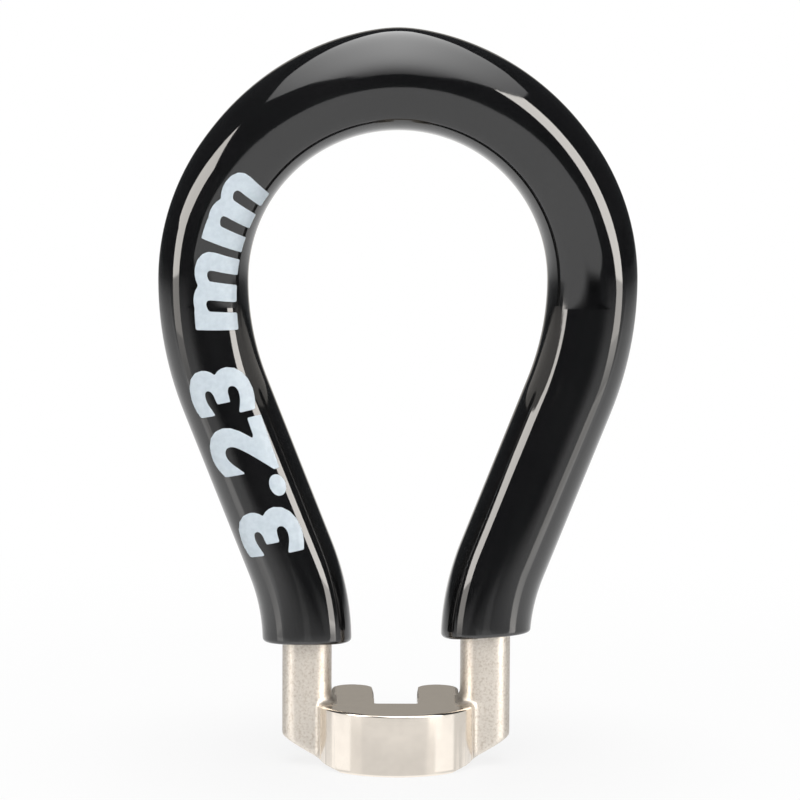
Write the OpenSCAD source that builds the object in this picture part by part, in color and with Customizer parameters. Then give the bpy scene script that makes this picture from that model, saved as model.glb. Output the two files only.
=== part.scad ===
// Spoke wrench: a cast steel jaw with a teardrop finger loop, dipped in a thick vinyl grip.
// Millimetres. +Z runs up through the loop and the jaw opens towards +Y.
// The origin is on the nipple's axis, level with the underside of the head.

/* [Nipple jaw] */
// Width across flats of the nipple that the jaw turns
nipple_flats = 3.23; // [3.2:0.01:4]
// Free play between the two jaw faces and the nipple
jaw_clearance = 0.05; // [0.02:0.01:0.15]
// Length of each jaw face, from the slot floor to the tip
jaw_reach = 8.2; // [5:0.1:9]
// Radius of each round jaw tip, which is half as wide as its jaw
jaw_tip_r = 1.6; // [1.3:0.05:2]

/* [Head] */
// Radius of the turned front of the head
head_r = 6; // [5.6:0.05:6.6]
// Height of the head
head_h = 4.65; // [3.5:0.05:6]
// Thickness of steel in front of the slot floor
head_web = 5; // [3.5:0.1:6]
// Bevel on the edges of the turned front
head_bevel = 0.2; // [0.05:0.05:0.4]
// Width of the flat underside
underside_w = 8.4; // [6:0.1:9]
// Slope in degrees at which the underside rises to the legs
underside_rise = 32; // [15:1:40]
// Radius of the cast fillets where the legs join the head
root_fillet_r = 0.5; // [0.2:0.05:0.8]

/* [Legs] */
// Width of each leg, seen from the front
leg_w = 3.7; // [3:0.05:4.2]
// Depth of each leg, front to back
leg_d = 4.3; // [3.4:0.05:5]
// Radius of the leg's rounded corners
leg_corner_r = 1.3; // [0.4:0.05:1.6]
// Distance between the centre lines of the two legs
leg_spacing = 13.4; // [12.6:0.1:14.6]

/* [Finger loop] */
// Height at which the legs start to bend outwards
bend_h = 9.05; // [7:0.05:14]
// Radius of the half-round crown, along the centre line
crown_r = 14.5; // [13:0.1:16]
// Radius of the shoulders, which start where the loop is widest
shoulder_r = 23.4; // [20:0.1:26]
// Lean in degrees of the straight limbs
limb_lean = 21.7; // [18:0.1:25]
// Radius of the bend from each limb into its leg
ankle_r = 17; // [12:0.5:20]

/* [Vinyl grip] */
// Thickness of the vinyl coat on the flats of the bar
coat_t = 1.5; // [0.9:0.05:2]
// How square the coat's section is, from 2 for an ellipse
coat_squareness = 2.6; // [2.2:0.1:4]
// Height of the left trimmed end of the coat
left_end_h = 9.6; // [8:0.1:14]
// Height of the right trimmed end of the coat, on the leg's centre line
right_end_h = 10.2; // [8:0.1:14]
// Tilt in degrees of the right trimmed end
right_end_tilt = 4; // [0:0.5:8]
// Height of the peak that the dip leaves on top of the crown
drip_rise = 0.9; // [0.2:0.05:1.4]
// Angle in degrees from the peak to where it has faded into the crown
drip_reach = 50; // [30:1:60]
// Angle in degrees over which the tip of the peak is rounded
drip_tip = 4; // [1:0.5:8]

/* [Hidden] */
$fn = 96;

// Degrees of bend between two rings of a sweep
ring_step = 4.5;
// Sides of the coat's section, and of each rounded corner of the bar
coat_sides = 36;
corner_sides = 4;
// Power with which the peak fades into the crown
drip_fade = 1.5;
// How far a cutter runs past what it cuts
overrun = 1;
// How deep the edge of a fillet is sunk into its leg
fillet_sink = 0.05;
// Angle over which a foot fillet runs round each inner corner of its leg
fillet_turn = 50;

jaw_gap = nipple_flats + jaw_clearance;
slot_floor_y = -jaw_gap / 2;
jaw_tip_y = slot_floor_y + jaw_reach;
jaw_x = jaw_gap / 2 + jaw_tip_r;
head_y = slot_floor_y - head_web + head_r;

leg_x = leg_spacing / 2;
coat_w = leg_w + 2 * coat_t;
coat_d = leg_d + 2 * coat_t;

// Each bend starts where the last one ends, on the same radius
shoulder_x = crown_r - shoulder_r;
limb_top_x = shoulder_x + shoulder_r * cos(limb_lean);
limb_l = (limb_top_x - leg_x - ankle_r * (1 - cos(limb_lean))) / sin(limb_lean);
ankle_x = leg_x + ankle_r;
crown_z = bend_h + (ankle_r + shoulder_r) * sin(limb_lean) + limb_l * cos(limb_lean);

// A station of the centre line is [x, z, clock angle of its outward side]
function crown_stations() = [
    for (i = [0 : ceil(90 / ring_step) - 1])
        let (t = 90 * i / ceil(90 / ring_step))
        [crown_r * sin(t), crown_z + crown_r * cos(t), t]
];
function shoulder_stations() = [
    for (i = [0 : ceil(limb_lean / ring_step)])
        let (t = limb_lean * i / ceil(limb_lean / ring_step))
        [shoulder_x + shoulder_r * cos(t), crown_z - shoulder_r * sin(t), 90 + t]
];
function ankle_stations() = [
    for (i = [0 : ceil(limb_lean / ring_step)])
        let (t = limb_lean * (1 - i / ceil(limb_lean / ring_step)))
        [ankle_x - ankle_r * cos(t), bend_h + ankle_r * sin(t), 90 + t]
];
function side_stations(foot_z) = concat(
    crown_stations(), shoulder_stations(), ankle_stations(), [[leg_x, foot_z, 90]]
);
// Left foot, over the crown, to the right foot
function stations(foot_z) =
    let (side = side_stations(foot_z))
    concat([for (i = [len(side) - 1 : -1 : 1]) [-side[i].x, side[i].y, -side[i].z]], side);

// Section of the bar: a rounded rectangle, as [outward, across] points
function bar_section() = [
    for (corner = [0 : 3], i = [0 : corner_sides])
        let (
            t = 90 * (corner + i / corner_sides),
            u = (corner == 0 || corner == 3 ? 1 : -1) * (leg_w / 2 - leg_corner_r),
            v = (corner < 2 ? 1 : -1) * (leg_d / 2 - leg_corner_r)
        )
        [u + leg_corner_r * cos(t), v + leg_corner_r * sin(t)]
];

// Height of the peak at a clock angle
function drip(t) =
    let (past = (norm([t, drip_tip]) - drip_tip) / drip_reach)
    past < 1 ? drip_rise * pow(1 - past, drip_fade) : 0;

// Section of the coat at a clock angle: a squared ellipse, fuller on its outer side at the peak
function coat_section(t) = [
    for (i = [0 : coat_sides - 1])
        let (
            a = 360 * i / coat_sides,
            p = 2 / coat_squareness,
            u = sign(cos(a)) * pow(abs(cos(a)), p),
            v = sign(sin(a)) * pow(abs(sin(a)), p)
        )
        [u * (coat_w / 2 + (u > 0 ? drip(t) : 0)), v * coat_d / 2]
];

// Solid through a list of sections, one at each station
module sweep(path, sections) {
    n = len(sections[0]);
    last = len(path) - 1;
    points = [
        for (i = [0 : last], p = sections[i])
            [path[i].x + p.x * sin(path[i].z), p.y, path[i].y + p.x * cos(path[i].z)]
    ];
    sides = [
        for (i = [0 : last - 1], j = [0 : n - 1])
            let (a = i * n + j, b = i * n + (j + 1) % n)
            each [[a, b, a + n], [b, b + n, a + n]]
    ];
    ends = [
        for (j = [1 : n - 2])
            each [[0, j + 1, j], [last * n, last * n + j, last * n + j + 1]]
    ];
    polyhedron(points, concat(sides, ends));
}

// The cast bar, from foot to foot
module bar() {
    path = stations(0);
    sweep(path, [for (s = path) bar_section()]);
}

// The outside of the coat, before its ends are trimmed
module coat() {
    path = stations(head_h);
    sweep(path, [for (s = path) coat_section(s.z)]);
}

// Web that fills the corner between the turned front and the front of the right leg
module front_web() {
    face_y = -leg_d / 2;
    web_y = face_y - root_fillet_r;
    web_x = sqrt(pow(head_r + root_fillet_r, 2) - pow(web_y - head_y, 2));
    touch = head_r / (head_r + root_fillet_r);
    difference() {
        polygon([
            [leg_x, face_y],
            [web_x, face_y],
            [web_x * touch, head_y + (web_y - head_y) * touch],
            [leg_x - leg_w / 2, head_y],
            [leg_x, head_y]
        ]);
        translate([web_x, web_y]) circle(root_fillet_r);
    }
}

// Web that fills the corner between the right jaw and the back of the right leg
module back_web() {
    web_x = jaw_x + jaw_tip_r + root_fillet_r;
    web_y = leg_d / 2 + root_fillet_r;
    difference() {
        polygon([
            [jaw_x, head_y],
            [leg_x, head_y],
            [leg_x, leg_d / 2],
            [web_x, leg_d / 2],
            [jaw_x + jaw_tip_r, web_y],
            [jaw_x, web_y]
        ]);
        translate([web_x, web_y]) circle(root_fillet_r);
    }
}

// Section of a fillet, run back by a depth into the leg that it leans on
module fillet_section(back) {
    translate([-fillet_sink, 0])
        difference() {
            translate([-back, 0]) square([back + root_fillet_r, root_fillet_r]);
            translate([root_fillet_r, root_fillet_r]) circle(root_fillet_r);
        }
}

// Fillet on top of the head, round the inner side of the right leg
module foot_fillet() {
    straight = leg_d - 2 * leg_corner_r;
    translate([leg_x - leg_w / 2, straight / 2, head_h])
        rotate([90, 0, 0]) mirror([1, 0, 0])
            linear_extrude(straight) fillet_section(leg_corner_r / 2);
    translate([leg_x - leg_w / 2 + leg_corner_r, 0, head_h])
        for (side = [-1, 1])
            translate([0, side * straight / 2, 0])
                rotate_extrude(angle = fillet_turn, start = side > 0 ? 180 - fillet_turn : 180)
                    translate([leg_corner_r, 0]) fillet_section(leg_corner_r / 2);
}

// Turned front of the head, with its two bevels, cut off behind the middle of the legs
module turned_front() {
    difference() {
        translate([0, head_y, 0])
            rotate_extrude()
                polygon([
                    [0, 0],
                    [head_r - head_bevel, 0],
                    [head_r, head_bevel],
                    [head_r, head_h - head_bevel],
                    [head_r - head_bevel, head_h],
                    [0, head_h]
                ]);
        translate([-head_r - overrun, 0, -overrun])
            cube([2 * (head_r + overrun), head_r + overrun, head_h + 2 * overrun]);
    }
}

// One jaw, from the middle of the head back to its round tip
module jaw() {
    linear_extrude(head_h) {
        translate([jaw_x, jaw_tip_y - jaw_tip_r]) circle(jaw_tip_r);
        translate([jaw_x - jaw_tip_r, head_y])
            square([2 * jaw_tip_r, jaw_tip_y - jaw_tip_r - head_y]);
    }
}

module head_side() {
    jaw();
    linear_extrude(head_h) {
        front_web();
        back_web();
    }
    foot_fillet();
}

// Sloped cut that lifts the underside towards the right leg
module underside_cut() {
    run = leg_x + leg_w / 2 + overrun - underside_w / 2;
    translate([underside_w / 2, head_r + head_web, 0])
        rotate([90, 0, 0])
            linear_extrude(2 * (head_r + head_web))
                polygon([
                    [0, 0],
                    [run, run * tan(underside_rise)],
                    [run, -overrun],
                    [0, -overrun]
                ]);
}

module jaw_casting() {
    color("silver")
        difference() {
            union() {
                turned_front();
                for (side = [0, 1]) mirror([side, 0, 0]) head_side();
                bar();
            }
            translate([-jaw_gap / 2, slot_floor_y, -overrun])
                cube([jaw_gap, jaw_reach + overrun, head_h + 2 * overrun]);
            for (side = [0, 1]) mirror([side, 0, 0]) underside_cut();
        }
}

// Block that trims the coat off below a height on the right leg
module trim(height, tilt) {
    translate([leg_x, 0, height])
        rotate([0, -tilt, 0])
            translate([-leg_x, -coat_d, -2 * height])
                cube([leg_x + 2 * crown_r, 2 * coat_d, 2 * height]);
}

module vinyl_grip() {
    color("#161616")
        difference() {
            coat();
            bar();
            mirror([1, 0, 0]) trim(left_end_h, 0);
            trim(right_end_h, right_end_tilt);
        }
}

jaw_casting();
vinyl_grip();
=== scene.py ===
"""Spoke wrench: a cast steel jaw and legs under a finger loop dipped in glossy black vinyl."""
import bpy
import math
from mathutils import Matrix, Vector


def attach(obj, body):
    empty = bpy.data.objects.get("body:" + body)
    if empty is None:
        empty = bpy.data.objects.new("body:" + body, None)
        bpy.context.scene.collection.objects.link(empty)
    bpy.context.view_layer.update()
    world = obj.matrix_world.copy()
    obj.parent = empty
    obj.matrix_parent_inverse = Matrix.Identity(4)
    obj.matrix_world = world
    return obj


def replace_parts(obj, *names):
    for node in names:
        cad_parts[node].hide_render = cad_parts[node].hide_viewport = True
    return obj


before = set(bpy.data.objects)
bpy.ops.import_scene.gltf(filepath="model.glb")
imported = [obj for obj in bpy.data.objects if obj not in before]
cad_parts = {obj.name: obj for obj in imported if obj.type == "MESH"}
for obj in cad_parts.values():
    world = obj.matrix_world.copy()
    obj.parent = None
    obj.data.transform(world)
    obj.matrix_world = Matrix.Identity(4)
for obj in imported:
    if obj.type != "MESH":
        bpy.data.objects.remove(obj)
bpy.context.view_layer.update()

# ---------------------------------------------------------------- sizes, in millimetres
MM = 0.001

LEG_X = 6.7
LEG_W, LEG_D, LEG_CORNER = 3.7, 4.3, 1.3
BEND_H = 9.05
CROWN_R, SHOULDER_R, ANKLE_R = 14.5, 23.4, 17.0
LEAN = math.radians(21.7)
LIMB_TOP_X = CROWN_R - SHOULDER_R * (1 - math.cos(LEAN))
LIMB_L = (LIMB_TOP_X - LEG_X - ANKLE_R * (1 - math.cos(LEAN))) / math.sin(LEAN)
CROWN_Z = BEND_H + (ANKLE_R + SHOULDER_R) * math.sin(LEAN) + LIMB_L * math.cos(LEAN)

COAT_W, COAT_D = 6.7, 7.3
COAT_SQUARENESS = 2.6
DRIP_RISE, DRIP_REACH, DRIP_TIP, DRIP_FADE = 0.9, 50.0, 4.0, 1.5
LEFT_END_H, RIGHT_END_H, RIGHT_END_TILT = 9.15, 9.7, math.radians(4)
LIP_R = 0.30
END_SLOPE = math.radians(3.5)
PRINT_START, PRINT_END, PRINT_PROUD = -21.4, 9.0, 0.02
PRINT_BASE, PRINT_DRIFT = -1.40, -1.30
PRINT_SIZE, PRINT_SLANT, PRINT_WEIGHT = 5.8, 0.12, 0.25
PRINT_SPACING, PRINT_GAP, PRINT_DEPTH = 1.10, 0.75, 0.3

HEAD_R, HEAD_H, HEAD_Y = 6.0, 4.65, -0.64
HEAD_BEVEL = 0.17
JAW_GAP, JAW_REACH, SLOT_Y = 3.28, 8.2, -1.64
JAW_TIP_R = 1.6
MOUTH_Y, MOUTH_FLARE, SLOT_CORNER_R = 2.6, 0.25, 0.22
FILLET_R = 0.5
UNDERSIDE_W, UNDERSIDE_RISE = 9.7, math.radians(30.5)
UNDERSIDE_EASE_W, UNDERSIDE_EASE = 8.0, math.radians(14)


# ---------------------------------------------------------------- modelling helpers
def only(obj):
    """Makes obj the one selected and active object."""
    if bpy.context.object and bpy.context.object.mode != "OBJECT":
        bpy.ops.object.mode_set(mode="OBJECT")
    bpy.ops.object.select_all(action="DESELECT")
    obj.select_set(True)
    bpy.context.view_layer.objects.active = obj
    return obj


def edit(obj, select="SELECT"):
    """Opens obj for editing with all of it selected, or none of it."""
    only(obj)
    bpy.ops.object.mode_set(mode="EDIT")
    bpy.ops.mesh.select_mode(type="VERT")
    bpy.ops.mesh.select_all(action=select)


def done():
    bpy.ops.object.mode_set(mode="OBJECT")


def pick(obj, test, kind="polygons"):
    """Selects, in edit mode, the parts of the mesh that pass the test, and nothing else."""
    bpy.ops.mesh.select_mode(type={"vertices": "VERT", "edges": "EDGE", "polygons": "FACE"}[kind])
    bpy.ops.mesh.select_all(action="DESELECT")
    done()
    for part in getattr(obj.data, kind):
        part.select = bool(test(part))
    bpy.ops.object.mode_set(mode="EDIT")


def apply(obj, kind, **settings):
    """Adds a modifier with these settings and applies it."""
    only(obj)
    mod = obj.modifiers.new(kind.title(), kind)
    for name, value in settings.items():
        setattr(mod, name, value)
    bpy.ops.object.modifier_apply(modifier=mod.name)


def join(first, *others):
    only(first)
    for other in others:
        other.select_set(True)
    bpy.ops.object.join()
    return first


def cut(obj, cutter):
    """Cuts obj with a solid, which leaves its own finish on the faces that it cuts."""
    apply(obj, "BOOLEAN", operation="DIFFERENCE", solver="EXACT", object=cutter,
          material_mode="TRANSFER", use_hole_tolerant=True)
    bpy.data.objects.remove(cutter)


def tidy_mesh(obj, distance=0.0005):
    edit(obj)
    bpy.ops.mesh.remove_doubles(threshold=distance)
    bpy.ops.mesh.normals_make_consistent(inside=False)
    done()


def block(name, low, high, material=None):
    """A rectangular cutter or blank between two corners."""
    size = [b - a for a, b in zip(low, high)]
    bpy.ops.mesh.primitive_cube_add(size=1, location=[(a + b) / 2 for a, b in zip(low, high)])
    obj = bpy.context.object
    obj.name = name
    obj.scale = size
    bpy.ops.object.transform_apply(location=True, rotation=True, scale=True)
    if material:
        obj.data.materials.append(material)
    return obj


def upright_edge(obj, edge, least):
    """Whether an edge rises by more than the least height."""
    first, second = (obj.data.vertices[v].co.z for v in edge.vertices)
    return abs(first - second) > least


def turned(name, radius, low, high, y, material=None, bevel=0.0, sides=240):
    """A round blank on an upright axis, with its rims bevelled."""
    bpy.ops.mesh.primitive_cylinder_add(
        vertices=sides, radius=radius, depth=high - low, location=(0, y, (low + high) / 2))
    obj = bpy.context.object
    obj.name = name
    bpy.ops.object.transform_apply(location=True, rotation=True, scale=True)
    if bevel:
        edit(obj)
        pick(obj, lambda e: not upright_edge(obj, e, 1e-4), "edges")
        bpy.ops.mesh.bevel(offset=bevel, segments=4, profile=0.5, affect="EDGES")
        done()
    if material:
        obj.data.materials.append(material)
    return obj


def finish_piece(obj, name, materials=(), angle=40, weighted=False):
    """Brings a piece from millimetres to metres, names it and hangs it on the body."""
    only(obj)
    obj.name = obj.data.name = name
    obj.scale = (MM, MM, MM)
    bpy.ops.object.transform_apply(location=True, rotation=True, scale=True)
    bpy.ops.object.shade_smooth_by_angle(angle=math.radians(angle))
    if weighted:
        apply(obj, "WEIGHTED_NORMAL", keep_sharp=True)
    if materials:
        obj.data.materials.clear()
        for material in materials:
            obj.data.materials.append(material)
    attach(obj, "root")
    return obj


# ---------------------------------------------------------------- finishes
class Wiring:
    """A node tree, with short ways to add nodes to it."""

    def __init__(self, tree, empty=False):
        self.tree = tree
        if empty:
            tree.nodes.clear()

    def node(self, kind, inputs=None, **settings):
        """Adds a node. Each of its inputs, by name or number, gets a value or the link to a socket."""
        made = self.tree.nodes.new("ShaderNode" + kind)
        for name, value in settings.items():
            setattr(made, name, value)
        for name, value in (inputs or {}).items():
            if isinstance(value, bpy.types.NodeSocket):
                self.tree.links.new(value, made.inputs[name])
            else:
                made.inputs[name].default_value = value
        return made

    def coords(self):
        return self.node("TexCoord").outputs["Object"]

    def maths(self, operation, first, second):
        return self.node("Math", {0: first, 1: second}, operation=operation).outputs[0]

    def ease(self, value, start, end, low, high):
        """Goes smoothly from low to high while the value goes from start to end."""
        return self.node("MapRange", {"Value": value, "From Min": start, "From Max": end, "To Min": low,
                                      "To Max": high}, interpolation_type="SMOOTHSTEP").outputs["Result"]

    def mix(self, fac, low, high):
        return self.node("MixShader", {"Fac": fac, 1: low, 2: high}).outputs[0]


class Finish(Wiring):
    """A procedural material on a Principled shader."""

    def __init__(self, name, **constants):
        self.material = bpy.data.materials.new(name)
        self.material.use_nodes = True
        super().__init__(self.material.node_tree)
        self.shader = self.tree.nodes["Principled BSDF"]
        for socket, value in constants.items():
            self.shader.inputs[socket.replace("_", " ")].default_value = value
        self.skin = self.coords()

    def stretched(self, scale):
        return self.node("Mapping", {"Vector": self.skin, "Scale": scale}).outputs["Vector"]

    def noise(self, scale, detail=3.0, rough=0.5, vector=None):
        return self.node("TexNoise", {
            "Vector": vector or self.skin, "Scale": scale, "Detail": detail, "Roughness": rough,
        }).outputs["Fac"]

    def ramp(self, fac, *stops):
        made = self.node("ValToRGB", {"Fac": fac})
        elements = made.color_ramp.elements
        while len(elements) < len(stops):
            elements.new(0.5)
        for element, (position, colour) in zip(elements, stops):
            element.position = position
            element.color = (*colour, 1)
        return made.outputs["Color"]

    def span(self, fac, low, high):
        return self.node("MapRange", {"Value": fac, "To Min": low, "To Max": high}).outputs["Result"]

    def bump(self, height, distance, strength=1.0, under=None):
        inputs = {"Height": height, "Distance": distance, "Strength": strength}
        if under:
            inputs["Normal"] = under
        return self.node("Bump", inputs).outputs["Normal"]

    def set(self, socket, value):
        self.tree.links.new(value, self.shader.inputs[socket])


def black_vinyl():
    f = Finish("black_vinyl", IOR=1.5, Specular_IOR_Level=0.85)
    f.set("Base Color", f.ramp(
        f.noise(160, 2), (0.3, (0.0050, 0.0051, 0.0055)), (0.7, (0.0078, 0.0078, 0.0082))))
    f.set("Roughness", f.span(f.noise(420, 3), 0.035, 0.075))
    skin = f.bump(f.noise(240, 2, 0.4), 0.00002, 0.35)
    f.set("Normal", f.bump(f.noise(2600, 2, 0.5), 0.0000012, 0.5, skin))
    return f.material


def cast_nickel():
    """Satin plate over a sand-cast skin: fine pitting, with painted shade that darkens the colour where the
    pitting sinks.
    """
    f = Finish("cast_nickel", Metallic=1.0)
    pits_and_painted_shade = f.noise(5200, 3, 0.65)
    # Painted shade: the colour is darker where the pits sink, since the same noise drives the bump.
    f.set("Base Color", f.ramp(
        pits_and_painted_shade, (0.34, (0.545, 0.485, 0.42)), (0.47, (0.655, 0.605, 0.545)), (0.66, (0.71, 0.665, 0.605))))
    f.set("Roughness", f.span(f.noise(3800, 3), 0.36, 0.52))
    grain = f.bump(pits_and_painted_shade, 0.00004, 0.6)
    f.set("Normal", f.bump(f.noise(1500, 2), 0.00004, 0.3, grain))
    return f.material


def machined_nickel():
    """Turned and milled plate, smoother than the casting, with marks that run round the head."""
    f = Finish("machined_nickel", Metallic=1.0)
    f.set("Base Color", f.ramp(
        f.noise(1100, 4, 0.6), (0.3, (0.745, 0.682, 0.608)), (0.7, (0.785, 0.722, 0.645))))
    marks = f.noise(1.0, 2, 0.5, f.stretched((350, 350, 12000)))
    f.set("Roughness", f.span(f.noise(1.0, 3, 0.6, f.stretched((1400, 1400, 2600))), 0.125, 0.165))
    f.set("Normal", f.bump(marks, 0.000004, 0.15))
    return f.material


def white_print():
    f = Finish("white_print", Roughness=0.5)
    f.set("Base Color", f.ramp(f.noise(2400, 3), (0.35, (0.60, 0.68, 0.74)), (0.65, (0.67, 0.75, 0.81))))
    f.set("Normal", f.bump(f.noise(9000, 2), 0.000003, 0.4))
    return f.material


VINYL, CAST, MACHINED, PRINT = black_vinyl(), cast_nickel(), machined_nickel(), white_print()


# ---------------------------------------------------------------- finger loop
def section(width, depth, corner=None, squareness=None, segments=9):
    """An open ring across the top of the crown, as wide and deep as given."""
    bpy.ops.mesh.primitive_plane_add(size=2, location=(0, 0, 0))
    obj = bpy.context.object
    edit(obj)
    bpy.ops.mesh.delete(type="ONLY_FACE")
    done()
    if corner:
        obj.scale = (width / 2, depth / 2, 1)
        bpy.ops.object.transform_apply(location=False, rotation=False, scale=True)
        edit(obj)
        bpy.ops.mesh.bevel(offset=corner, segments=segments, profile=0.5, affect="VERTICES")
        done()
    else:
        edit(obj)
        bpy.ops.mesh.bevel(offset_type="PERCENT", offset_pct=50, segments=segments,
                           profile=2 ** (-2 / squareness), affect="VERTICES")
        bpy.ops.mesh.remove_doubles(threshold=1e-4)
        done()
        obj.scale = (width / 2, depth / 2, 1)
        bpy.ops.object.transform_apply(location=False, rotation=False, scale=True)
    obj.rotation_euler = (0, -math.pi / 2, 0)
    obj.location = (0, 0, CROWN_Z + CROWN_R)
    bpy.ops.object.transform_apply(location=True, rotation=True, scale=True)
    return obj


def half_loop(ring, foot_h):
    """Sweeps a ring from the top of the crown to the foot of the right leg."""
    obj = ring
    edit(obj)
    bpy.ops.mesh.spin(steps=60, angle=-math.pi / 2, center=(0, 0, CROWN_Z), axis=(0, 1, 0))
    bpy.ops.mesh.spin(steps=14, angle=-LEAN, center=(CROWN_R - SHOULDER_R, 0, CROWN_Z), axis=(0, 1, 0))
    runs = 10
    step = LIMB_L / runs
    for _ in range(runs):
        bpy.ops.mesh.extrude_region_move(TRANSFORM_OT_translate={
            "value": (-step * math.sin(LEAN), 0, -step * math.cos(LEAN)), "orient_type": "GLOBAL"})
    bpy.ops.mesh.spin(steps=12, angle=LEAN, center=(LEG_X + ANKLE_R, 0, BEND_H), axis=(0, 1, 0))
    for _ in range(2):
        bpy.ops.mesh.extrude_region_move(TRANSFORM_OT_translate={
            "value": (0, 0, (foot_h - BEND_H) / 2), "orient_type": "GLOBAL"})
    done()
    return obj


def grow_drip(obj):
    """Draws the outer side of the crown out to the peak where the last vinyl ran off."""
    for v in obj.data.vertices:
        out = math.hypot(v.co.x, v.co.z - CROWN_Z) - CROWN_R
        angle = math.degrees(math.atan2(v.co.x, v.co.z - CROWN_Z))
        past = (math.hypot(angle, DRIP_TIP) - DRIP_TIP) / DRIP_REACH
        if out > 0 and past < 1 and v.co.z > CROWN_Z:
            rise = DRIP_RISE * (1 - past) ** DRIP_FADE * out / (COAT_W / 2)
            v.co.x += rise * math.sin(math.radians(angle))
            v.co.z += rise * math.cos(math.radians(angle))


def half_grip(end_h, tilt):
    """The coat from the crown to one trimmed end, with the end's rim rolled in."""
    obj = half_loop(section(COAT_W, COAT_D, squareness=COAT_SQUARENESS, segments=18), HEAD_H)
    grow_drip(obj)
    up = Vector((-math.sin(tilt), math.sin(END_SLOPE), math.cos(tilt))).normalized()
    middle = Vector((LEG_X, 0, end_h + LIP_R))
    edit(obj)
    bpy.ops.mesh.bisect(plane_co=middle, plane_no=up, use_fill=False, clear_inner=True)
    steps, before = 6, 0.0
    for i in range(1, steps + 1):
        turn = math.pi / 2 * i / steps
        shrunk = LIP_R * (1 - math.cos(turn))
        grip = (COAT_W / 2 - shrunk) / (COAT_W / 2 - before)
        down = -up * LIP_R * (math.sin(turn) - math.sin(turn - math.pi / 2 / steps))
        bpy.ops.mesh.extrude_region_move(TRANSFORM_OT_translate={"value": down, "orient_type": "GLOBAL"})
        bpy.ops.transform.resize(value=(grip, grip, 1), center_override=middle)
        before = shrunk
    bpy.ops.mesh.edge_face_add()
    done()
    return obj


def build_grip():
    """The dipped coat, both halves in one skin, with the bar's room taken out of it."""
    left = half_grip(LEFT_END_H, 0)
    left.scale = (-1, 1, 1)
    bpy.ops.object.transform_apply(location=True, rotation=True, scale=True)
    obj = join(half_grip(RIGHT_END_H, RIGHT_END_TILT), left)
    tidy_mesh(obj)
    cut(obj, build_core(0.0))
    tidy_mesh(obj)
    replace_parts(finish_piece(obj, "vinyl_coat", [VINYL], angle=50), "vinyl_grip")
    return obj


def build_core(foot_h, end_h=None):
    """The cast bar inside the grip, closed at both feet."""
    halves = []
    for side in (1, -1):
        obj = half_loop(section(LEG_W, LEG_D, corner=LEG_CORNER, segments=6), foot_h)
        if end_h:
            edit(obj)
            bpy.ops.mesh.bisect(plane_co=(LEG_X, 0, end_h), plane_no=(0, 0, 1),
                                use_fill=True, clear_inner=True)
            done()
        else:
            edit(obj, "DESELECT")
            pick(obj, lambda v: v.co.z < foot_h + 1e-3, "vertices")
            bpy.ops.mesh.edge_face_add()
            done()
        if side < 0:
            obj.scale = (-1, 1, 1)
            bpy.ops.object.transform_apply(location=True, rotation=True, scale=True)
        halves.append(obj)
    obj = join(*halves)
    tidy_mesh(obj)
    return obj


# ---------------------------------------------------------------- size mark
def up_the_left(run):
    """Centre line of the left side at a run up from its widest point: x, z and outward direction."""
    if run > 0:
        turn = -math.pi / 2 + run / CROWN_R
        return CROWN_R * math.sin(turn), CROWN_Z + CROWN_R * math.cos(turn), turn
    turn = min(-run / SHOULDER_R, LEAN)
    x = SHOULDER_R - CROWN_R - SHOULDER_R * math.cos(turn)
    z = CROWN_Z - SHOULDER_R * math.sin(turn)
    rest = -run - SHOULDER_R * turn
    return x + rest * math.sin(LEAN), z - rest * math.cos(LEAN), -math.pi / 2 - turn


def build_print():
    """The nipple's size in plain numerals, printed up the front of the left limb."""
    bpy.ops.object.text_add(location=(0, 0, 0))
    obj = bpy.context.object
    text = obj.data
    text.body = "3.23 mm"
    text.size, text.shear, text.offset = PRINT_SIZE, PRINT_SLANT, PRINT_WEIGHT
    text.space_character, text.space_word = PRINT_SPACING, PRINT_GAP
    text.extrude, text.resolution_u = PRINT_DEPTH, 4
    only(obj)
    bpy.ops.object.convert(target="MESH")
    apply(obj, "REMESH", mode="VOXEL", voxel_size=0.075, adaptivity=0.0)
    apply(obj, "SMOOTH", factor=0.5, iterations=3)
    low, high = (limit(v.co.x for v in obj.data.vertices) for limit in (min, max))
    for v in obj.data.vertices:
        along = (v.co.x - low) / (high - low)
        x, z, clock = up_the_left(PRINT_START + (PRINT_END - PRINT_START) * along)
        across = PRINT_BASE + PRINT_DRIFT * along + v.co.y
        proud = PRINT_PROUD * v.co.z / PRINT_DEPTH
        u = across / (COAT_W / 2)
        w = (1 - abs(u) ** COAT_SQUARENESS) ** (1 / COAT_SQUARENESS)
        normal = Vector((math.copysign(abs(u) ** (COAT_SQUARENESS - 1), u) / COAT_W,
                         w ** (COAT_SQUARENESS - 1) / COAT_D)).normalized()
        out = across + proud * normal.x
        v.co = (x + out * math.sin(clock), -w * COAT_D / 2 - proud * normal.y, z + out * math.cos(clock))
    edit(obj)
    bpy.ops.mesh.normals_make_consistent(inside=False)
    done()
    finish_piece(obj, "size_print", [PRINT], angle=40)
    return obj


# ---------------------------------------------------------------- jaw head
VOXEL = 0.11
LEG_TOP = 12.0
SPARE_LOW, SPARE_TOP, SPARE_FRONT = -0.6, 0.03, 0.04


def upright(name, radius, low, high, x, y, sides=64):
    """A round blank or cutter on an upright axis anywhere on the head."""
    obj = turned(name, radius, low, high, y, sides=sides)
    obj.location = (x, 0, 0)
    only(obj)
    bpy.ops.object.transform_apply(location=True, rotation=True, scale=True)
    return obj


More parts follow.
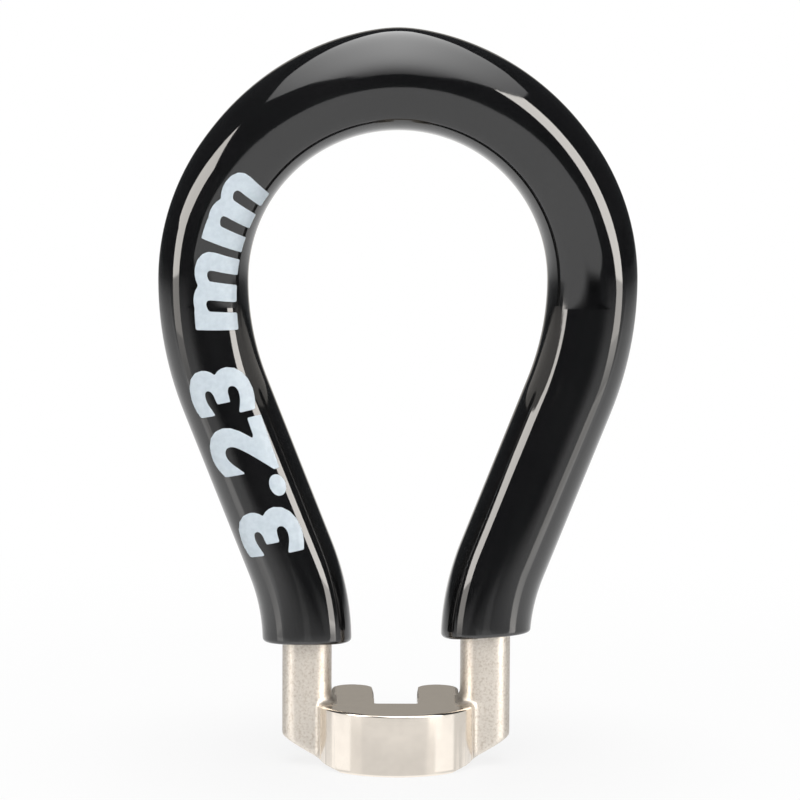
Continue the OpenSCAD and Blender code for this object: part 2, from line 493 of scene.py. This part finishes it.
def corner_web(side, x, y, towards):
    """The fill in an upright corner of the head, hollowed to a round fillet."""
    reach = towards * (FILLET_R + 1.2)
    low = (min(x - side * 1.3, x + side * FILLET_R), min(y, y - reach), SPARE_LOW)
    high = (max(x - side * 1.3, x + side * FILLET_R), max(y, y - reach), HEAD_H)
    obj = block("web", low, high)
    cut(obj, upright("hollow", FILLET_R, -2, HEAD_H + 2, x + side * FILLET_R, y))
    return obj


def cast_leg(side):
    """A straight leg with rounded corners, from below the head up into the grip."""
    x = side * LEG_X
    leg = block("leg", (x - LEG_W / 2, -LEG_D / 2, SPARE_LOW), (x + LEG_W / 2, LEG_D / 2, LEG_TOP))
    edit(leg)
    pick(leg, lambda e: upright_edge(leg, e, 1), "edges")
    bpy.ops.mesh.bevel(offset=LEG_CORNER, segments=10, profile=0.5, affect="EDGES")
    done()
    return leg


def foot_skirt(side, spread, rise):
    """A low step round the inner side of a leg's foot, which smoothing turns into a fillet."""
    inner = LEG_X - LEG_W / 2
    xs = sorted((side * (inner - spread), side * (inner + LEG_CORNER)))
    half = LEG_D / 2 - 0.25 + spread
    obj = block("skirt", (xs[0], -half, HEAD_H - 0.8), (xs[1], half, HEAD_H + rise))
    edit(obj)
    pick(obj, lambda e: upright_edge(obj, e, 0.5)
         and side * obj.data.vertices[e.vertices[0]].co.x < inner, "edges")
    bpy.ops.mesh.bevel(offset=LEG_CORNER + spread - 0.3, segments=6, profile=0.5, affect="EDGES")
    done()
    return obj


def underside_wedge(side, width, rise):
    """A cutter that slants one side of the underside up, from half the width outwards."""
    obj = block("wedge", (0, -9, -6), (12, 9, 0))
    obj.rotation_euler = (0, -rise, 0)
    obj.location = (width / 2, 0, 0)
    only(obj)
    bpy.ops.object.transform_apply(location=True, rotation=True, scale=True)
    if side < 0:
        obj.scale = (-1, 1, 1)
        bpy.ops.object.transform_apply(location=True, rotation=True, scale=True)
        edit(obj)
        bpy.ops.mesh.normals_make_consistent(inside=False)
        done()
    return obj


def head_blank():
    """The head and legs as they leave the mould, before anything is machined."""
    top = HEAD_H + SPARE_TOP
    front = turned("blank", HEAD_R + SPARE_FRONT, SPARE_LOW, top, HEAD_Y)
    cut(front, block("back", (-9, 0.4, -2), (9, 9, HEAD_H + 2)))
    parts = [front]
    for side in (1, -1):
        x = side * (JAW_GAP / 2 + JAW_TIP_R)
        tip_y = SLOT_Y + JAW_REACH - JAW_TIP_R
        parts.append(block("jaw", (x - JAW_TIP_R, HEAD_Y, SPARE_LOW), (x + JAW_TIP_R, tip_y, top)))
        parts.append(upright("tip", JAW_TIP_R, SPARE_LOW, top, x, tip_y, 96))
        parts.append(cast_leg(side))
        inner, outer = sorted((x, side * LEG_X))
        parts.append(block("bridge", (inner, -1.5, SPARE_LOW), (outer, LEG_D / 2 - 0.05, top)))
        parts.append(corner_web(side, side * (JAW_GAP / 2 + 2 * JAW_TIP_R), LEG_D / 2 + FILLET_R, 1))
        web_y = -LEG_D / 2 - FILLET_R
        web_x = math.sqrt((HEAD_R + FILLET_R) ** 2 - (web_y - HEAD_Y) ** 2) - FILLET_R
        parts.append(corner_web(side, side * web_x, web_y, -1))
        parts.append(foot_skirt(side, 0.30, 0.16))
        parts.append(foot_skirt(side, 0.10, 0.40))
    obj = join(*parts)
    apply(obj, "REMESH", mode="VOXEL", voxel_size=VOXEL, adaptivity=0.0)
    for side in (1, -1):
        cut(obj, underside_wedge(side, UNDERSIDE_W, UNDERSIDE_RISE))
        cut(obj, underside_wedge(side, UNDERSIDE_EASE_W, UNDERSIDE_EASE))
    apply(obj, "REMESH", mode="VOXEL", voxel_size=VOXEL, adaptivity=0.0)
    apply(obj, "SMOOTH", factor=0.5, iterations=10)
    obj.data.materials.clear()
    obj.data.materials.append(CAST)
    obj.data.polygons.foreach_set("material_index", [0] * len(obj.data.polygons))
    return obj


def slot_cutter():
    """The milled slot, with a small radius in the corners of its floor, eased open towards the mouth."""
    end = SLOT_Y + JAW_REACH + 0.5
    obj = block("slot", (-JAW_GAP / 2, SLOT_Y, -2), (JAW_GAP / 2, end, HEAD_H + 2))
    edit(obj, "DESELECT")
    pick(obj, lambda v: v.co.y > 0, "vertices")
    bpy.ops.mesh.extrude_region_move(TRANSFORM_OT_translate={"value": (0, 0, 0), "orient_type": "GLOBAL"})
    bpy.ops.transform.resize(value=(1 + 2 * MOUTH_FLARE / JAW_GAP, 1, 1), center_override=(0, 0, 0))
    done()
    for v in obj.data.vertices:
        if v.co.y > 0 and abs(v.co.x) < JAW_GAP / 2 + 0.01:
            v.co.y = MOUTH_Y
    edit(obj, "DESELECT")
    pick(obj, lambda e: upright_edge(obj, e, 1)
         and obj.data.vertices[e.vertices[0]].co.y < 0, "edges")
    bpy.ops.mesh.bevel(offset=SLOT_CORNER_R, segments=5, profile=0.5, affect="EDGES")
    done()
    tidy_mesh(obj)
    obj.data.materials.append(MACHINED)
    return obj


def build_head():
    """The visible casting: the blank with its front turned, its top and underside milled and its slot cut."""
    obj = head_blank()
    front = block("front", (-7.5, -9, -1.2), (7.5, -2.55, HEAD_H + 0.6), MACHINED)
    cut(front, turned("front_core", HEAD_R, 0, HEAD_H, HEAD_Y, MACHINED, bevel=HEAD_BEVEL))
    cut(obj, front)
    cut(obj, block("top", (-4.45, -2.7, HEAD_H), (4.45, 9, HEAD_H + 1.2), MACHINED))
    cut(obj, slot_cutter())
    cut(obj, block("floor", (-12, -9, -3), (12, 9, 0), MACHINED))
    tidy_mesh(obj, 0.002)
    names = [m.name for m in obj.data.materials]
    machined = next(i for i, n in enumerate(names) if n == MACHINED.name)
    for f in obj.data.polygons:
        if abs(f.center.z - HEAD_H) < 0.05 and f.normal.z > 0.998:
            f.material_index = machined
    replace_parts(finish_piece(obj, "jaw_head", angle=30, weighted=True), "jaw_casting")
    return obj


def build_hidden_core():
    """The rest of the casting, the bar that the grip hides."""
    obj = build_core(BEND_H, LEG_TOP - 0.4)
    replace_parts(finish_piece(obj, "loop_core", [CAST], angle=32), "jaw_casting")
    return obj


# ---------------------------------------------------------------- studio, in metres
SOFTBOX_HALF, SOFTBOX_Z = 0.30, 0.35
SOFTBOX_HOT, SOFTBOX_HOT_W, SOFTBOX_HOT_L = 3.8, 0.60, 2.9
STRIP_CENTRE_Z, STRIP_REACH = 0.036, 0.17
FILL_CARD_Z, FILL_CARD_LIGHT = 0.0345, 0.95
FLAG_Z, TABLE_CARD_Z = 0.0347, 0.0001
FLOOR_W, FLOOR_L, FLOOR_FRONT = 8.0, 8.5, 0.5
FLOOR_GLOSS_IOR = 1.7


def emitter(name, points, faces, strength, colour=(1, 1, 1), one_sided=False, for_diffuse=True):
    """A light panel hidden from the camera. Its strength is a number, or a function that wires one up."""
    mesh = bpy.data.meshes.new(name)
    mesh.from_pydata(points, [], faces)
    obj = bpy.data.objects.new(name, mesh)
    bpy.context.scene.collection.objects.link(obj)
    material = bpy.data.materials.new(name)
    material.use_nodes = True
    w = Wiring(material.node_tree, empty=True)
    power = strength(w) if callable(strength) else strength
    surface = w.node("Emission", {"Color": (*colour, 1), "Strength": power}).outputs[0]
    if one_sided:
        behind = w.node("NewGeometry").outputs["Backfacing"]
        surface = w.mix(behind, surface, w.node("BsdfTransparent").outputs[0])
    w.node("OutputMaterial", {"Surface": surface})
    mesh.materials.append(material)
    obj.visible_camera = False
    obj.visible_shadow = False
    obj.visible_diffuse = for_diffuse
    return obj


def overhead_light():
    """The big softbox, whose outline and hot middle show in the top of the crown."""
    right = [(0.38, -8.0), (0.50, -4.0), (0.73, -2.2), (0.86, -1.4),
             (0.86, -0.43), (0.65, 0.02), (0.45, 0.31), (0.12, 1.0)]
    left = [(0.20, -8.0), (0.30, -4.5), (0.52, -2.35), (0.90, -1.04),
            (0.68, -0.17), (0.49, 0.24), (0.12, 1.0)]
    outline = right + [(-x, y) for x, y in reversed(left)]
    points = [(x * SOFTBOX_HALF, y * SOFTBOX_HALF, SOFTBOX_Z) for x, y in outline]

    def from_hot_middle(w):
        scale = (1 / (SOFTBOX_HOT_W * SOFTBOX_HALF), 1 / (SOFTBOX_HOT_L * SOFTBOX_HALF), 0)
        place = w.node("Mapping", {"Vector": w.coords(), "Location": (0, 0.10, 0), "Scale": scale}).outputs[0]
        square = w.node("VectorMath", {0: place, 1: place}, operation="DOT_PRODUCT").outputs["Value"]
        return w.maths("DIVIDE", SOFTBOX_HOT, w.maths("ADD", square, 1.0))

    return emitter("overhead_softbox", points, [range(len(points))], from_hot_middle)


def side_light(name, side, table, strength):
    """A bent strip light beside the camera. The table gives clock angle, inner and outer angle from the camera."""
    points = []
    for clock, inner, outer in table:
        for beta in (inner, outer):
            c, b = math.radians(clock), math.radians(beta)
            way = Vector((side * math.sin(b) * math.sin(c), -math.cos(b), math.sin(b) * math.cos(c)))
            points.append(Vector((0, 0, STRIP_CENTRE_Z)) + STRIP_REACH * way)
    faces = [(2 * i, 2 * i + 1, 2 * i + 3, 2 * i + 2) for i in range(len(table) - 1)]
    return emitter(name, points, faces, strength, (1.0, 0.96, 0.91), for_diffuse=False)


def stage_floor():
    """A pale sheet. To reflections it shows painted light, a glow set by place that fades with distance, as a lit
    table top does in a dark room.
    """
    bpy.ops.mesh.primitive_plane_add(size=1, location=(0, 0, 0))
    obj = bpy.context.object
    obj.name = "floor"
    obj.scale = (FLOOR_W, FLOOR_L, 1)
    obj.location = (0, FLOOR_L / 2 - FLOOR_FRONT, 0)
    bpy.ops.object.transform_apply(location=True, rotation=True, scale=True)
    material = bpy.data.materials.new("white_floor")
    material.use_nodes = True
    w = Wiring(material.node_tree, empty=True)
    coords = w.coords()
    length = w.node("VectorMath", {0: coords}, operation="LENGTH").outputs["Value"]
    apart = w.node("SeparateXYZ", {0: coords}).outputs
    x, y = apart["X"], apart["Y"]

    def fade(start, end, low, high):
        return w.ease(length, start, end, low, high)

    # The camera sees white, with painted shade round the head: near it a darker grey diffuse sheet is mixed in,
    # which also keeps the real shadow.
    paint = w.node("BsdfDiffuse", {"Color": (0.9, 0.9, 0.9, 1)}).outputs[0]
    shade = w.node("BsdfDiffuse", {"Color": (0.62, 0.62, 0.62, 1)}).outputs[0]
    glow = w.node("Emission").outputs[0]
    near_head = w.mix(fade(0.006, 0.034, 0.84, 0.955), shade, glow)
    seen = w.mix(fade(0.03, 0.11, 0.0, 1.0), near_head, glow)

    # Gloss and metal mirror painted light on the sheet: a glow set by place, bright near and beside the tool,
    # boosted just in front of it and darker with distance, and some of the strip lights mirrored with a painted
    # gain.
    aside = w.maths("DIVIDE", w.maths("ABSOLUTE", x, 0.0), w.maths("ABSOLUTE", y, 0.0))
    front = w.maths("MAXIMUM", w.ease(y, -0.13, -0.03, 0.0, 1.0), w.ease(aside, 0.17, 0.65, 0.0, 0.9))
    # Painted light: the glow is made brighter from about 40 mm in front of the tool inwards, most at about 27 mm.
    painted_close_boost = w.maths("MULTIPLY", w.ease(y, -0.040, -0.027, 1.0, 1.66), w.ease(y, -0.026, -0.012, 1.0, 0.83))
    strength = w.maths("MULTIPLY", w.maths("MULTIPLY", front, painted_close_boost), fade(0.10, 0.60, 1.0, 0.25))
    lit = w.node("Emission", {"Strength": strength}).outputs[0]
    # Painted reflection: the mirror's gain, weak near the tool, weaker to the left and above 1 far out.
    painted_mirror_gain = w.maths("MULTIPLY", fade(0.020, 0.055, 0.06, 0.9), fade(0.065, 0.14, 1.0, 2.0))
    painted_mirror_gain = w.maths("MULTIPLY", painted_mirror_gain, w.ease(x, -0.03, 0.0, 0.6, 1.0))
    shine = w.node("BsdfGlossy", {"Color": painted_mirror_gain, "Roughness": 0.05}).outputs[0]
    mirrored = w.mix(w.node("Fresnel", {"IOR": FLOOR_GLOSS_IOR}).outputs[0], lit, shine)

    rays = w.node("LightPath").outputs
    others = w.mix(rays["Is Camera Ray"], paint, seen)
    w.node("OutputMaterial", {"Surface": w.mix(rays["Is Glossy Ray"], others, mirrored)})
    obj.data.materials.append(material)
    return obj


def fill_card():
    """A lit card level with the middle of the loop, in front of it, that only the crown looks down on."""
    right = [(0.026, -0.50), (0.122, -1.24), (0.20, -1.15), (0.11, -0.5), (0.056, -0.215), (0.034, -0.086),
             (0.020, -0.040), (0.0165, -0.018), (0.016, -0.004)]
    outline = [(0, -0.33)] + right + [(-x, y) for x, y in reversed(right)]
    points = [(x, y, FILL_CARD_Z) for x, y in outline]

    def less_at_the_corners(w):
        apart = w.node("SeparateXYZ", {0: w.coords()}).outputs
        near = w.ease(apart["Y"], -0.045, -0.028, 0.0, 1.0)
        wide = w.ease(w.maths("ABSOLUTE", apart["X"], 0.0), 0.0075, 0.0145, 0.0, FILL_CARD_LIGHT)
        return w.maths("SUBTRACT", FILL_CARD_LIGHT, w.maths("MULTIPLY", near, wide))

    return emitter("fill_card", points, [range(len(points))], less_at_the_corners,
                   one_sided=True, for_diffuse=False)


def table_cards():
    """Two bright cards laid on the table beside the head, which its turned front shows as upright bands."""
    left = [(-5.8, -3.9), (-30.7, 3.7), (-28.7, -15.0), (-4.4, -5.9)]
    right = [(25.7, -20.2), (31.2, -4.1), (5.2, -4.85), (3.7, -6.5)]
    points = [(x * MM, y * MM, TABLE_CARD_Z) for x, y in left + right]
    return emitter("table_cards", points, [(0, 1, 2, 3), (4, 5, 6, 7)], 1.3, one_sided=True, for_diffuse=False)


def head_flag():
    """Two dim cards that keep the softbox off the head's level top in views from above and from behind."""
    points = []
    for half, front, back in ((0.016, -0.014, 0.034), (0.030, -0.190, -0.100)):
        points += [(x, y, FLAG_Z) for x, y in ((-half, front), (-half, back), (half, back), (half, front))]
    return emitter("head_flag", points, [(0, 1, 2, 3), (4, 5, 6, 7)], 0.6, (1.0, 0.96, 0.90),
                   one_sided=True, for_diffuse=False)


def backdrop_light():
    """The lit foot of the backdrop, which the top of the head mirrors."""
    y, top, half = 0.6, 0.26, 0.14
    points = [(-half, y, 0), (half, y, 0), (half, y, top), (-half, y, top)]
    return emitter("backdrop_foot", points, [(0, 1, 2, 3)], 0.38, (1.0, 0.95, 0.87))


def stage_world():
    """White to the camera, and a dim room to everything else."""
    world = bpy.data.worlds.new("studio")
    bpy.context.scene.world = world
    world.use_nodes = True
    w = Wiring(world.node_tree, empty=True)
    room = w.node("Background", {"Color": (0.9, 0.95, 1.0, 1), "Strength": 0.045}).outputs[0]
    seen = w.node("Background", {"Color": (1, 1, 1, 1)}).outputs[0]
    to_camera = w.node("LightPath").outputs["Is Camera Ray"]
    w.node("OutputWorld", {"Surface": w.mix(to_camera, room, seen)})


def camera():
    pitch, yaw, roll = math.radians(6.224), math.radians(0.897), math.radians(0.297)
    data = bpy.data.cameras.new("camera")
    data.sensor_width = 36
    data.lens = 4035 / 800 * 36
    data.clip_start, data.clip_end = 0.01, 40
    obj = bpy.data.objects.new("camera", data)
    bpy.context.scene.collection.objects.link(obj)
    ahead = Vector((math.sin(yaw) * math.cos(pitch), math.cos(yaw) * math.cos(pitch), -math.sin(pitch)))
    right = Vector((math.cos(yaw), -math.sin(yaw), 0))
    up = right.cross(ahead)
    r = right * math.cos(roll) + up * math.sin(roll)
    u = up * math.cos(roll) - right * math.sin(roll)
    turn = Matrix((r, u, -ahead)).transposed()
    obj.matrix_world = Matrix.Translation((-0.0045, -0.300, 0.0601)) @ turn.to_4x4()
    bpy.context.scene.camera = obj


camera()
build_head()
build_hidden_core()
build_grip()
build_print()

stage_floor()
stage_world()
fill_card()
backdrop_light()
head_flag()
overhead_light()
table_cards()
side_light("strip_light_right", 1, [
    (94, 45, 67), (88, 41, 64), (80, 35, 60), (58, 30.5, 53.5), (39, 28.9, 50), (33, 28.7, 29.5)], 8.5)
side_light("strip_light_left", -1, [
    (93, 50, 71), (86, 50, 72), (80, 50, 74), (77, 49, 80), (70, 43.5, 77.5), (63, 39, 71),
    (56.6, 48, 64.5), (50, 57, 58)], 7.0)
side_light("strip_foot_right", 1, [(107, 48, 70), (97, 48, 68), (94, 45, 67)], 4.8)
side_light("strip_foot_left", -1, [(107, 52, 74), (93, 50, 71)], 2.6)

bpy.context.scene.view_settings.view_transform = "Standard"
